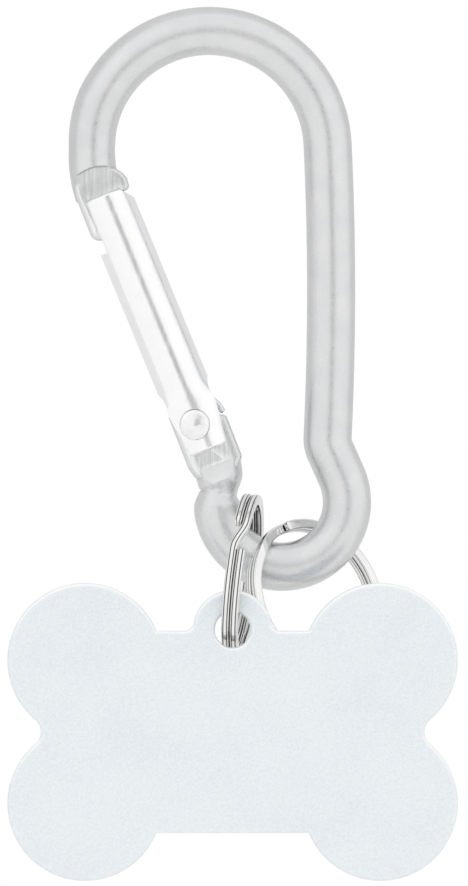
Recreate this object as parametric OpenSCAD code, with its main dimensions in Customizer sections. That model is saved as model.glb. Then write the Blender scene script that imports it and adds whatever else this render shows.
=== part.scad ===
/* [Carabiner body] */
// Diameter of the bent rod
rod_d = 4.1; // [3.6:0.1:4.3]
// Centreline radius of the wide top bend
top_bend_r = 10.1; // [9:0.1:12]
// Height of the long side, from the top bend to the waist
spine_len = 24.95; // [23:0.05:32]
// How far the long side bows outward at mid height
spine_bow = 0.3; // [0.1:0.05:0.6]
// Outward turn of the rod at the waist, in degrees
waist_angle = 24; // [18:1:28]
// Straight run of rod between the waist and the lower lobe
shoulder_len = 2.4; // [1.5:0.1:3.5]
// Centreline radius of the lower lobe
lobe_r = 5.5; // [5.2:0.05:6]
// How far the lobe curls in above its middle on the gate side, in degrees
lobe_curl = 7; // [3:1:12]
// Centreline radius of the two tight joggle bends
kink_r = 2.3; // [2.25:0.05:2.8]
// Length of the straight leg below the gate pivot
leg_len = 5.15; // [4.9:0.05:7]
// Lean of that leg from upright, in degrees
leg_lean = 21; // [18:0.5:25]
// How far the top bend turns in past its middle on the nose side, in degrees
nose_turn = 21.7; // [17:0.1:26]
// Thickness of the milled hinge and nose tongues
tongue_t = 2.8; // [2.2:0.1:3]

/* [Gate] */
// Diameter of the gate bar
gate_d = 4.5; // [4.2:0.1:5]
// Sideways shift of the nose from the gate's centreline
gate_shift = 0.45; // [0.3:0.05:0.6]
// Length of the gate below its pivot
gate_tail = 2.4; // [2:0.1:2.8]
// Length of the slot that closes over the nose tongue
nose_slot = 4.2; // [4:0.1:6]
// Height of the hinge slot above the pivot
hinge_slot = 3.5; // [3.4:0.05:4.5]
// Diameter of the hinge rivet
rivet_d = 1.5; // [1:0.1:1.8]
// Diameter of the rivet's domed heads
rivet_head_d = 2.4; // [2.2:0.1:2.8]
// Diameter of the spring wire
spring_wire_d = 0.5; // [0.4:0.05:0.55]

/* [Split rings] */
// Outside diameter of both split rings
ring_od = 14; // [13.8:0.1:14.6]
// Thickness of the ring wire, from bore to rim
ring_wire_t = 0.85; // [0.7:0.05:0.95]
// Width of one turn of the ring wire
ring_turn_w = 0.68; // [0.5:0.02:0.72]
// Length of the ramp where the wire crosses from one turn to the other, in degrees
ring_ramp = 40; // [25:1:60]

/* [Bone tag] */
// Width of the tag over its lobes
tag_w = 38.1; // [32:0.1:45]
// Height of the tag over its lobes
tag_h = 25.2; // [23:0.1:27]
// Radius of the four lobes
tag_lobe_r = 6.55; // [6:0.05:7]
// Height of the straight middle of the bone
tag_shaft_h = 17.1; // [15:0.1:19]
// Thickness of the sheet
tag_t = 1; // [0.8:0.1:1.2]
// Diameter of the ring hole
tag_hole_d = 3; // [2.9:0.1:3.6]
// Radius of the round ear about the hole
tag_ear_r = 3.35; // [3:0.05:4]

/* [Hidden] */
$fn = 64;

// Every place below is [x, y] in the plane of the carabiner, with depth towards the viewer as z.
// in_plane() stands that plane upright. The origin is where a collar's eye hangs in the top bend.
rod_r = rod_d / 2;
gate_r = gate_d / 2;
rivet_r = rivet_d / 2;
wire_r = spring_wire_d / 2;
over = rod_d / 2;

// Directions run from +x towards +y, in degrees
function along(a) = [cos(a), sin(a)];
function leftward(a) = [-sin(a), cos(a)];

// Centreline of the bent rod: bend, long side, waist, shoulder, lobe, joggle and leg
spine_r = (pow(spine_len / 2, 2) + pow(spine_bow, 2)) / (2 * spine_bow);
spine_lean = asin(spine_len / 2 / spine_r);
rod_sides = 28;
wire_sides = 12;
bend_at = [0, rod_r - top_bend_r];
spine_top = bend_at + top_bend_r * along(spine_lean);
spine_at = spine_top - spine_r * along(spine_lean);
spine_foot = spine_top - [0, spine_len];
spine_way = -90 - spine_lean;
shoulder_way = waist_angle - 90;
waist_at = spine_foot + kink_r * leftward(spine_way);
shoulder_top = waist_at - kink_r * leftward(shoulder_way);
shoulder_foot = shoulder_top + shoulder_len * along(shoulder_way);
lobe_at = shoulder_foot - lobe_r * leftward(shoulder_way);
curl_end = 180 - lobe_curl;
joggle_at = lobe_at + (lobe_r + kink_r) * along(curl_end);
leg_way = 90 + leg_lean;
leg_foot = joggle_at - kink_r * leftward(leg_way);
pivot = leg_foot + leg_len * along(leg_way);
nose_at = bend_at - top_bend_r * along(nose_turn);

// The gate's own line, from the pivot up to the nose, with the nose a little outside it
reach = nose_at - pivot;
nose_up = sqrt(pow(norm(reach), 2) - pow(gate_shift, 2));
gate_tilt = atan2(-reach.x, reach.y) - asin(gate_shift / norm(reach));

// Running clearances
slot_side_gap = 0.1;
nose_top_gap = 0.27;
nose_side_gap = 0.12;
rivet_gap = 0.05;
seat_gap = 0.02;
spring_gap = 0.05;
spring_bore_gap = 0.08;
slot_w = tongue_t + 2 * slot_side_gap;
gate_top = nose_up - nose_top_gap;

// Hinge tongue: a pressed flat a little wider than the rod, round about the pivot
hinge_flare = 0.55;
hinge_r = (rod_d + hinge_flare) / 2;
hinge_flat_foot = 5.3;
hinge_cut_r = 2.3;
hinge_plate_foot = 3.7;

// Nose: a coined block above the gate and a tongue that enters the gate's slot
block_flare = 0.4;
block_w = rod_d + block_flare;
block_shift = 0.32;
block_h = 1.9;
block_lap = 0.05;
nose_thin = 0.1;
nose_w = rod_d - nose_thin;
nose_in = 3.5;
nose_end_r = 4.25;
nose_flat_up = 2.3;
nose_cut_r = 2.4;

// Gate details
top_chamfer_w = 0.9;
top_chamfer_h = 1.1;
chamfer_way = atan2(top_chamfer_h, top_chamfer_w);
rivet_face = 1.9 / 2.25 * gate_r;
rivet_dome_h = 0.7;
dome_r = (pow(rivet_dome_h, 2) + pow(rivet_head_d / 2, 2)) / (2 * rivet_dome_h);
spot_gap = 0.12;

// Spring: a leg in the gate's bore, a small bend, a wrap over the tongue and a free tail
wrap_r = hinge_r + spring_gap + wire_r;
spring_bend_r = 0.5;
spring_drop = sqrt(pow(wrap_r + spring_bend_r, 2) - pow(spring_bend_r, 2));
wrap_angle = atan2(spring_drop, spring_bend_r);
spring_top = 8.5;
spring_end_gap = 0.3;
spring_tail = 0.9;

// Split ring: two turns of one wire, with a small gap between the turns
ring_turn_gap = 0.04;
ring_r = (ring_od - ring_wire_t) / 2;
ring_bore_r = ring_od / 2 - ring_wire_t;
ring_pitch = ring_turn_w + ring_turn_gap;
ring_sweep = 720 - ring_ramp;
ring_steps = 90;
wire_corner = 0.18;
wire_end_len = 0.12;
wire_end_share = 0.7;
wire_end_angle = wire_end_len / ring_r * 180 / PI;
ring_rod_gap = 0.13;

// Tag ring: nearly edge-on, round the rod on the gate side of the lobe
tag_ring_tilt = 83.3;
tag_ring_turn = -6.9;
tag_ring_spot_angle = -120.44;
tag_ring_pull_angle = 204.95;
tag_ring_hug_share = 1.09;
tag_ring_phase = 160;
tag_ring_hold = ring_bore_r - tag_ring_hug_share * rod_r - ring_rod_gap;

// Key ring: tipped forward, round the rod on the far side of the lobe
key_ring_tilt = 42.9;
key_ring_turn = 27.4;
key_ring_spot_angle = -71.7;
key_ring_pull_angle = -100.35;
key_ring_hug_share = 1.366;
key_ring_phase = 125;
key_ring_hold = ring_bore_r - key_ring_hug_share * rod_r - ring_rod_gap;

// A tilted ring's own directions, and the unit vector at angle a round it
function ring_x(tilt, turn) = [cos(tilt) * cos(turn), cos(tilt) * sin(turn), -sin(tilt)];
function ring_y(turn) = [-sin(turn), cos(turn), 0];
function round_ring(tilt, turn, a) = cos(a) * ring_x(tilt, turn) + sin(a) * ring_y(turn);
function on_lobe(a) = [lobe_at.x + lobe_r * cos(a), lobe_at.y + lobe_r * sin(a), 0];
tag_ring_at = on_lobe(tag_ring_spot_angle)
    + tag_ring_hold * round_ring(tag_ring_tilt, tag_ring_turn, tag_ring_pull_angle);
key_ring_at = on_lobe(key_ring_spot_angle)
    + key_ring_hold * round_ring(key_ring_tilt, key_ring_turn, key_ring_pull_angle);

// Tag: its hole is where the front of the tag ring comes through, this far round the ring
tag_hang_angle = 226.18;
tag_rest_side = 0.25;
tag_rest_up = 0.15;
tag_hole_rise = 0.1;
waist_fillet = 1.35;
waist_most_angle = 50;
ear_fillet = 0.8;
hole_at = tag_ring_at + ring_r * round_ring(tag_ring_tilt, tag_ring_turn, tag_hang_angle);
tag_depth = hole_at.z;
tag_hole = [hole_at.x + tag_rest_side, hole_at.y + tag_rest_up, tag_depth];
lobe_x = tag_w / 2 - tag_lobe_r;
lobe_y = tag_h / 2 - tag_lobe_r;
hole_y = tag_shaft_h / 2 + tag_hole_rise;

module in_plane() {
    rotate([90, 0, 0]) children();
}

module at_gate() {
    in_plane() translate([pivot.x, pivot.y, 0]) rotate([0, 0, gate_tilt]) children();
}

// A plate centred in depth
module plate(x0, x1, y0, y1, t) {
    translate([x0, y0, -t / 2]) cube([x1 - x0, y1 - y0, t]);
}

// Both faces of the rod milled down to the tongue, with a round end to each cut
module flats(x, y_round, r, y_far) {
    y0 = min(y_round, y_far);
    y1 = max(y_round, y_far);
    for (side = [0, 1]) mirror([0, 0, side]) translate([x, 0, tongue_t / 2]) {
        translate([0, y_round, 0]) cylinder(r = r, h = over);
        translate([-r, y0, 0]) cube([2 * r, y1 - y0, over]);
    }
}

// Centreline stations [x, y, heading] round an arc, from one polar angle to another
function arc_way(at, r, from, to, steps) = [for (i = [0:steps]) let (a = from + (to - from) * i / steps)
    [at.x + r * cos(a), at.y + r * sin(a), to < from ? a - 90 : a + 90]];

// The rod's centreline, from the nose over the bend, down the long side and round to the pivot
function rod_way() = concat(
    arc_way(bend_at, top_bend_r, 180 + nose_turn, spine_lean, 34),
    tail_of(arc_way(spine_at, spine_r, spine_lean, -spine_lean, 6)),
    tail_of(arc_way(waist_at, kink_r, 180 - spine_lean, 180 + waist_angle, 5)),
    arc_way(lobe_at, lobe_r, waist_angle, curl_end - 360, 36),
    tail_of(arc_way(joggle_at, kink_r, -lobe_curl, leg_lean, 5)),
    [[pivot.x, pivot.y, leg_way]]
);
function tail_of(list) = [for (i = [1:len(list) - 1]) list[i]];

// Side walls and end caps between the rings of points of a swept section
function sweep_faces(rings, sides) = concat(
    [for (i = [0:rings - 2]) for (j = [0:sides - 1]) let (k = (j + 1) % sides, m = i * sides)
        for (face = [[m + j, m + k, m + sides + k], [m + j, m + sides + k, m + sides + j]]) face],
    [[for (j = [0:sides - 1]) sides - 1 - j], [for (j = [0:sides - 1]) (rings - 1) * sides + j]]
);

// A round wire swept along stations [x, y, heading]
module sweep(way, r, sides) {
    points = [for (s = way) for (j = [0:sides - 1]) let (t = 360 * j / sides)
        [s.x - r * cos(t) * sin(s.z), s.y + r * cos(t) * cos(s.z), -r * sin(t)]];
    polyhedron(points = points, faces = sweep_faces(len(way), sides), convexity = 6);
}

module carabiner_rod() {
    in_plane() sweep(rod_way(), rod_r, rod_sides);
}

module nose_tongue() {
    at_gate() intersection() {
        plate(-gate_shift - nose_w / 2, -gate_shift + nose_w / 2,
            gate_top - nose_in, nose_up + block_h, tongue_t);
        translate([-gate_shift, gate_top - nose_in + nose_end_r, -tongue_t])
            cylinder(r = nose_end_r, h = 2 * tongue_t);
    }
}

module carabiner_body() {
    color([0.82, 0.83, 0.84]) union() {
        difference() {
            carabiner_rod();
            at_gate() {
                flats(0, hinge_cut_r - hinge_flat_foot, hinge_cut_r, hinge_r);
                flats(-gate_shift, gate_top + nose_flat_up - nose_cut_r, nose_cut_r, gate_top - nose_in);
                translate([0, 0, -over]) cylinder(r = rivet_r + rivet_gap, h = 2 * over);
            }
        }
        nose_tongue();
        at_gate() {
            plate(block_shift - gate_shift - block_w / 2, block_shift - gate_shift + block_w / 2,
                nose_up - block_lap, nose_up + block_h, tongue_t);
            difference() {
                union() {
                    plate(-hinge_r, hinge_r, -hinge_plate_foot, 0, tongue_t);
                    translate([0, 0, -tongue_t / 2]) cylinder(r = hinge_r, h = tongue_t);
                }
                translate([0, 0, -over]) cylinder(r = rivet_r + rivet_gap, h = 2 * over);
            }
        }
    }
}

module gate() {
    slot_edge = nose_w / 2 - gate_shift + nose_side_gap;
    color([0.88, 0.88, 0.89]) at_gate() difference() {
        translate([0, -gate_tail, 0]) rotate([-90, 0, 0]) cylinder(r = gate_r, h = gate_top + gate_tail);
        plate(-gate_d, gate_d, -gate_tail - over, hinge_slot, slot_w);
        plate(-gate_d, slot_edge, gate_top - nose_slot, gate_top + over, slot_w);
        translate([gate_r, gate_top - top_chamfer_h, 0]) rotate([0, 0, 90 - chamfer_way])
            plate(0, gate_d, -gate_d, gate_d, 2 * gate_d);
        translate([0, hinge_slot - over, 0]) rotate([-90, 0, 0])
            cylinder(r = wire_r + spring_bore_gap, h = spring_top + spring_end_gap + over - hinge_slot);
        translate([0, 0, -gate_d]) cylinder(r = rivet_r + seat_gap, h = 2 * gate_d);
        for (side = [0, 1]) mirror([0, 0, side]) translate([0, 0, rivet_face])
            cylinder(r = rivet_head_d / 2 + spot_gap, h = gate_r);
    }
}

module rivet_dome() {
    translate([0, 0, rivet_face + seat_gap]) difference() {
        translate([0, 0, rivet_dome_h - dome_r]) sphere(r = dome_r);
        translate([-dome_r, -dome_r, -2 * dome_r]) cube(2 * dome_r);
    }
}

module hinge_rivet() {
    color([0.74, 0.75, 0.77]) at_gate() union() {
        translate([0, 0, -rivet_face - seat_gap]) cylinder(r = rivet_r, h = 2 * (rivet_face + seat_gap));
        rivet_dome();
        mirror([0, 0, 1]) rivet_dome();
    }
}

function spring_way() = concat(
    [[0, spring_top, -90]],
    arc_way([spring_bend_r, spring_drop], spring_bend_r, 180, 180 + wrap_angle, 8),
    tail_of(arc_way([0, 0], wrap_r, wrap_angle, 0, 14)),
    [[wrap_r, -spring_tail, -90]]
);

module gate_spring() {
    color([0.6, 0.61, 0.63]) at_gate() sweep(spring_way(), wire_r, wire_sides);
}

// The wire's place between the two turns: -1 in the first, 1 in the second, easing over the ramp
function turn_side(a) = a < 360 - ring_ramp ? -1 : a > 360 ? 1 : -cos(180 * (a - 360 + ring_ramp) / ring_ramp);

// The wire's section, a rectangle with its corners eased: [from bore to rim, across the turn]
function wire_section() = let (t = ring_wire_t / 2, w = ring_turn_w / 2, c = wire_corner) [
    [t, c - w], [t, w - c], [t - c, w], [c - t, w],
    [-t, w - c], [-t, c - w], [c - t, -w], [t - c, -w]
];

module split_ring() {
    section = wire_section();
    sides = len(section);
    step = ring_sweep / ring_steps;
    angles = concat([0, wire_end_angle], [for (i = [1:ring_steps - 1]) i * step],
        [ring_sweep - wire_end_angle, ring_sweep]);
    last = len(angles) - 1;
    points = [for (i = [0:last]) let (a = angles[i], s = i == 0 || i == last ? wire_end_share : 1)
        for (p = section) let (r = ring_r + s * p.x)
            [r * cos(a), r * sin(a), turn_side(a) * ring_pitch / 2 + s * p.y]];
    polyhedron(points = points, faces = sweep_faces(len(angles), sides), convexity = 6);
}

module tag_ring() {
    color([0.78, 0.79, 0.81]) in_plane() translate(tag_ring_at)
        rotate([0, tag_ring_tilt, tag_ring_turn]) rotate([0, 0, tag_ring_phase]) split_ring();
}

module key_ring() {
    color([0.78, 0.79, 0.81]) in_plane() translate(key_ring_at)
        rotate([0, key_ring_tilt, key_ring_turn]) rotate([0, 0, key_ring_phase]) split_ring();
}

function arc_points(at, r, from, to, steps) = [for (i = [0:steps]) at + r * along(from + (to - from) * i / steps)];

// The waist from lobe to lobe: two fillets, with a straight between them where the lobes stand far apart
function waist_points(side, x, y, turn, last) = [for (i = [1:last]) let (a = turn * (1 - i / 6))
    side * ([-x, sign(a) * y] + waist_fillet * along(a))];

// The bone's outline, anticlockwise from the right-hand waist
function bone_outline() =
    let (
        waist_reach = tag_lobe_r + waist_fillet,
        waist_turn = asin(min(lobe_y / waist_reach, sin(waist_most_angle))),
        waist_x = lobe_x + waist_reach * cos(waist_turn),
        waist_y = lobe_y - waist_reach * sin(waist_turn),
        edge_turn = asin((tag_shaft_h / 2 - lobe_y) / tag_lobe_r),
        foot_y = tag_shaft_h / 2 + ear_fillet,
        foot_x = sqrt(pow(tag_ear_r + ear_fillet, 2) - pow(foot_y - hole_y, 2)),
        foot_turn = atan2(foot_y - hole_y, foot_x)
    ) concat(
        arc_points([lobe_x, lobe_y], tag_lobe_r, -waist_turn, 180 - edge_turn, 40),
        arc_points([foot_x, foot_y], ear_fillet, 270, 180 + foot_turn, 6),
        tail_of(arc_points([0, hole_y], tag_ear_r, foot_turn, 180 - foot_turn, 28)),
        tail_of(arc_points([-foot_x, foot_y], ear_fillet, -foot_turn, -90, 6)),
        arc_points([-lobe_x, lobe_y], tag_lobe_r, edge_turn, 180 + waist_turn, 40),
        waist_points(1, waist_x, waist_y, waist_turn, 12),
        tail_of(arc_points([-lobe_x, -lobe_y], tag_lobe_r, 180 - waist_turn, 360 - edge_turn, 40)),
        arc_points([lobe_x, -lobe_y], tag_lobe_r, 180 + edge_turn, 360 + waist_turn, 40),
        waist_points(-1, waist_x, waist_y, waist_turn, 11)
    );

module bone_tag() {
    color([0.86, 0.89, 0.92]) in_plane() translate([tag_hole.x, tag_hole.y - hole_y, tag_depth - tag_t / 2])
        difference() {
            linear_extrude(height = tag_t) polygon(bone_outline());
            translate([0, hole_y, -tag_t]) cylinder(r = tag_hole_d / 2, h = 3 * tag_t);
        }
}

carabiner_body();
gate();
hinge_rivet();
gate_spring();
tag_ring();
bone_tag();
key_ring();
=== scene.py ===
"""A bone-shaped pet id tag on a split ring, hanging from a small aluminium snap hook."""
import bpy
import bmesh
import math
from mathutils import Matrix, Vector


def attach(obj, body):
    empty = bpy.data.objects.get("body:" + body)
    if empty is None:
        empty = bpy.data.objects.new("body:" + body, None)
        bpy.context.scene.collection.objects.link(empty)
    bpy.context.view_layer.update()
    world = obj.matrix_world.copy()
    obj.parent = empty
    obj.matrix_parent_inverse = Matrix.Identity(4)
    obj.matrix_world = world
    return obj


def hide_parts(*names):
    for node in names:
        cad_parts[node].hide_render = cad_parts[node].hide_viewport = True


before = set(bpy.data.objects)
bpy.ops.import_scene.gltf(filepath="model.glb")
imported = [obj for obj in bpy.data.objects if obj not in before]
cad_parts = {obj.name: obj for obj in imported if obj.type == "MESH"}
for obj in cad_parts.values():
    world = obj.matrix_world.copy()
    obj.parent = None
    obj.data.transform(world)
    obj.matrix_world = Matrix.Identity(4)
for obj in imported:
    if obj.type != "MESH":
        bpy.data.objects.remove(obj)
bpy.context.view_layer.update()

MM = 0.001
# In millimetres: a step too small to see, and how far a cutter reaches past what it cuts
HAIR, PAST = 0.01, 5.0


# Places: [x, y] in the plane of the hook with depth towards the viewer, all in millimetres

def in_plane(x, y, depth=0.0):
    return Vector((x, -depth, y)) * MM


def cosd(a):
    return math.cos(math.radians(a))


def sind(a):
    return math.sin(math.radians(a))


def along(a, r=1.0):
    return Vector((r * cosd(a), r * sind(a)))


def leftward(a, r=1.0):
    return Vector((-r * sind(a), r * cosd(a)))


# The bent rod's centreline, from the same sizes as the part's source
ROD_R = 2.05
BEND_R, SPINE_LEN, SPINE_BOW = 10.1, 24.95, 0.3
WAIST_TURN, SHOULDER_LEN = 24.0, 2.4
LOBE_R, LOBE_CURL, KINK_R = 5.5, 7.0, 2.3
LEG_LEN, LEG_LEAN, NOSE_TURN = 5.15, 21.0, 21.7
TONGUE_T = 2.8

spine_r = ((SPINE_LEN / 2) ** 2 + SPINE_BOW ** 2) / (2 * SPINE_BOW)
spine_lean = math.degrees(math.asin(SPINE_LEN / 2 / spine_r))
bend_at = Vector((0.0, ROD_R - BEND_R))
spine_top = bend_at + along(spine_lean, BEND_R)
spine_at = spine_top - along(spine_lean, spine_r)
spine_foot = spine_top - Vector((0.0, SPINE_LEN))
waist_at = spine_foot + leftward(-90 - spine_lean, KINK_R)
shoulder_way = WAIST_TURN - 90
shoulder_top = waist_at - leftward(shoulder_way, KINK_R)
lobe_at = shoulder_top + along(shoulder_way, SHOULDER_LEN) - leftward(shoulder_way, LOBE_R)
curl_end = 180 - LOBE_CURL
joggle_at = lobe_at + along(curl_end, LOBE_R + KINK_R)
leg_way = 90 + LEG_LEAN
leg_foot = joggle_at - leftward(leg_way, KINK_R)
pivot = leg_foot + along(leg_way, LEG_LEN)
nose_at = bend_at - along(NOSE_TURN, BEND_R)

# The gate's own line
GATE_R, GATE_SHIFT, GATE_TAIL = 2.25, 0.45, 2.4
HINGE_SLOT, SLOT_W = 3.5, 3.0
reach = nose_at - pivot
nose_up = math.sqrt(reach.length_squared - GATE_SHIFT ** 2)
gate_tilt = math.degrees(math.atan2(-reach.x, reach.y)) - math.degrees(math.asin(GATE_SHIFT / reach.length))
TIP_GAP = 0.27
gate_top = nose_up - TIP_GAP


def at_gate(x, y, depth=0.0):
    """A place in the gate's own frame: y up the gate from the pivot, x to its inner side."""
    p = pivot + along(gate_tilt, x) + leftward(gate_tilt, y)
    return in_plane(p.x, p.y, depth)


def arc_way(at, r, start, end, steps):
    """Stations (x, y, heading) round an arc."""
    out = []
    for i in range(steps + 1):
        a = start + (end - start) * i / steps
        p = at + along(a, r)
        out.append((p.x, p.y, a - 90 if end < start else a + 90))
    return out


# Meshes

def new_object(name, verts, faces, uvs=None):
    mesh = bpy.data.meshes.new(name)
    mesh.from_pydata([tuple(v) for v in verts], [], faces)
    if uvs:
        layer = mesh.uv_layers.new(name="wire")
        for loop in mesh.loops:
            layer.data[loop.index].uv = uvs[loop.vertex_index]
    mesh.update()
    bm = bmesh.new()
    bm.from_mesh(mesh)
    bmesh.ops.recalc_face_normals(bm, faces=bm.faces)
    bm.to_mesh(mesh)
    bm.free()
    obj = bpy.data.objects.new(name, mesh)
    bpy.context.scene.collection.objects.link(obj)
    return obj


def smooth(obj, sharp_over=32):
    obj.data.shade_smooth()
    obj.data.set_sharp_from_angle(angle=math.radians(sharp_over))
    return obj


def loft(name, rings, across=None, along_mm=None):
    """Closed rings of points, joined one to the next and capped at both ends. The finish of a drawn wire
    follows its own two measures: across for each point of a ring, along_mm for each ring."""
    n = len(rings[0])
    verts = [p for ring in rings for p in ring]
    faces = []
    for i in range(len(rings) - 1):
        for j in range(n):
            k = (j + 1) % n
            faces.append((i * n + j, i * n + k, (i + 1) * n + k, (i + 1) * n + j))
    faces.append(tuple(range(n - 1, -1, -1)))
    faces.append(tuple((len(rings) - 1) * n + j for j in range(n)))
    uvs = [(u, v) for v in along_mm for u in across] if along_mm else None
    return new_object(name, verts, faces, uvs)


def sweep(name, way, sides, place=in_plane):
    """A round bar along stations (x, y, heading, radius)."""
    rings, length, lengths = [], 0.0, []
    for i, (x, y, h, r) in enumerate(way):
        if i:
            length += math.hypot(x - way[i - 1][0], y - way[i - 1][1])
        lengths.append(length)
        side = leftward(h)
        rings.append([place(x + r * cosd(t) * side.x, y + r * cosd(t) * side.y, r * sind(t))
                      for t in [360 * j / sides for j in range(sides)]])
    return loft(name, rings, [cosd(360 * j / sides) for j in range(sides)], lengths)


def prism(name, outline, low, high, place=at_gate):
    """A flat outline given thickness between two depths."""
    return loft(name, [[place(x, y, low) for x, y in outline], [place(x, y, high) for x, y in outline]])


def lathe(name, profile, steps, place):
    """A profile of (radius, height) turned about its own axis; place takes (across, up, deep)."""
    rings = []
    for r, h in profile:
        rings.append([place(r * cosd(a), h, r * sind(a)) for a in [360 * j / steps for j in range(steps)]])
    return loft(name, rings)


def inward(points):
    """The unit step into the sheet at each point of an anticlockwise outline, mitred at corners."""
    out = []
    for i, p in enumerate(points):
        a, b = p - points[i - 1], points[(i + 1) % len(points)] - p
        m = Vector((-a.y, a.x)).normalized() + Vector((-b.y, b.x)).normalized()
        out.append(m / max(m.length_squared / 2, 0.5))
    return out


def plate(name, outline, half, ease):
    """An anticlockwise outline on the gate's line, given thickness both ways, with its rims rounded over."""
    points = [Vector(p) for p in outline]
    rim = [(ease * (1 - sind(t)), half - ease * (1 - cosd(t))) for t in (0, 22, 45, 67, 90)]
    rows = [(inset, -depth) for inset, depth in rim] + rim[::-1]
    return loft(name, [[at_gate(*(p + s * inset), depth) for p, s in zip(points, inward(points))]
                       for inset, depth in rows])


def in_triangles(obj):
    """Bent four-sided faces as flat triangles, so that a cut meets them cleanly."""
    bm = bmesh.new()
    bm.from_mesh(obj.data)
    bmesh.ops.triangulate(bm, faces=[f for f in bm.faces if len(f.verts) == 4])
    bm.to_mesh(obj.data)
    bm.free()
    return obj


def carve(obj, operation, others):
    for other in others:
        m = obj.modifiers.new(operation, "BOOLEAN")
        m.operation, m.solver, m.object = operation, "EXACT", other
    bpy.context.view_layer.update()
    done = bpy.data.meshes.new_from_object(obj.evaluated_get(bpy.context.evaluated_depsgraph_get()))
    obj.modifiers.clear()
    obj.data = done
    for other in others:
        bpy.data.objects.remove(other)
    return obj


def cut(obj, *cutters):
    """Takes the cutters' shapes away from a piece."""
    return carve(obj, "DIFFERENCE", cutters)


def join(obj, *others):
    """Makes a piece and others one solid."""
    return carve(obj, "UNION", others)


def round_end(x, y, r, far, steps=24):
    """A slot's outline: a half circle of radius r at (x, y) and straight sides to the height far."""
    start = 0 if far < y else 180
    turns = [start + 180 * i / steps for i in range(steps + 1)]
    arc = [(x + r * cosd(t), y + r * sind(t)) for t in turns]
    return arc + [(arc[-1][0], far), (arc[0][0], far)]


def box_outline(x0, x1, y0, y1):
    return [(x0, y0), (x1, y0), (x1, y1), (x0, y1)]


# The hook's rod: bent, thinner where it was bent tightest, then milled flat on both faces at its two ends.
# Each drift is how far the rod stands off its plain line there, each thinning what its radius loses.
BEND_THIN, BEND_DRIFT, BEND_THIN_AT, BEND_THIN_OVER = 0.08, 0.16, 180.0, 24.0
NECK_AT, NECK_THIN, NECK_LEN = Vector((0.9, -37.14)), 0.48, 0.75
JOGGLE_DRIFT, LEG_DRIFT, HINGE_DRIFT = 0.38, 0.5, 0.37


def rod_stations():
    out = []
    for x, y, h in arc_way(bend_at, BEND_R, 180 + NOSE_TURN, spine_lean, 90):
        share = max(0.0, 1 - abs(h + 90 - BEND_THIN_AT) / BEND_THIN_OVER)
        out.append((x + BEND_DRIFT * share, y, h, ROD_R - BEND_THIN * share))
    rest = (arc_way(spine_at, spine_r, spine_lean, -spine_lean, 24)[1:]
            + arc_way(waist_at, KINK_R, 180 - spine_lean, 180 + WAIST_TURN, 10)[1:]
            + arc_way(lobe_at, LOBE_R, WAIST_TURN, curl_end - 360, 120))
    joggle = arc_way(joggle_at, KINK_R, -LOBE_CURL, LEG_LEAN, 14)[1:]
    for i, (x, y, h) in enumerate(joggle):
        p = Vector((x, y)) + along(gate_tilt, JOGGLE_DRIFT * (i + 1) / len(joggle))
        rest.append((p.x, p.y, h))
    for up, drift in ((-4.2, LEG_DRIFT), (-3.5, LEG_DRIFT), (0.0, HINGE_DRIFT)):
        p = pivot + along(gate_tilt, drift) + leftward(gate_tilt, up)
        rest.append((p.x, p.y, leg_way))
    for x, y, h in rest:
        near = math.exp(-(Vector((x, y)) - NECK_AT).length_squared / NECK_LEN ** 2)
        out.append((x, y, h, ROD_R - NECK_THIN * near))
    return out


hook_rod = sweep("hook_rod", rod_stations(), 64)


def corner(x, y, r, start, end, steps=6):
    """A rounded corner about (x, y), from one bearing to another."""
    turns = [start + (end - start) * i / steps for i in range(steps + 1)]
    return [(x + r * cosd(t), y + r * sind(t)) for t in turns]


# The nose: a tongue for the gate's slot, which flares to a shoulder over the gate's tip
HALF_T = TONGUE_T / 2
NOSE_CUT_X, NOSE_CUT_Y, NOSE_CUT_R, NOSE_CUT_FOOT = -0.45, 20.2, 3.36, gate_top - 4
TONGUE_FOOT, TONGUE_LEFT, TONGUE_RIGHT = 17.45, -2.36, 1.55
LIP_FOOT = gate_top - 0.3
nose_outline = (corner(TONGUE_LEFT + 0.8, TONGUE_FOOT + 0.8, 0.8, 180, 270)
                + [(TONGUE_RIGHT, TONGUE_FOOT + 0.15), (TONGUE_RIGHT, LIP_FOOT)]
                + corner(1.85, LIP_FOOT + 0.4, 0.4, 270, 370)
                + [(2.3, 21.62), (2.17, 22.0), (1.95, 22.4), (1.66, 22.74), (1.3, 23.0), (0.8, 23.2),
                   (-1.6, 23.2), (-2.2, 22.6), (TONGUE_LEFT, 21.9)])

# The hinge: a pressed tongue, with a shoulder where the spring's free end rests
TONGUE_SIDE, SHOULDER_X = -1.86, 2.78
RUN_OUT, RUN_OUT_TOP, RUN_OUT_LEFT, RUN_OUT_RIGHT = -3.75, 3.0, -2.4, 3.2
hinge_outline = ([(2.3 * cosd(a), 2.3 * sind(a)) for a in range(0, 145, 6)]
                 + [(TONGUE_SIDE, -3.3), (-1.66, -4.2), (-0.6, -5.0), (1.2, -5.0), (2.1, -4.75)]
                 + corner(SHOULDER_X - 0.6, -3.75, 0.6, -50, 0)
                 + corner(SHOULDER_X - 0.42, -0.45, 0.42, 0, 88))


def milled(outline):
    """Cutters that leave a tongue's thickness between two flats with this outline."""
    return [prism("flat", outline, HALF_T, PAST), prism("flat", outline, -PAST, -HALF_T)]


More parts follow.
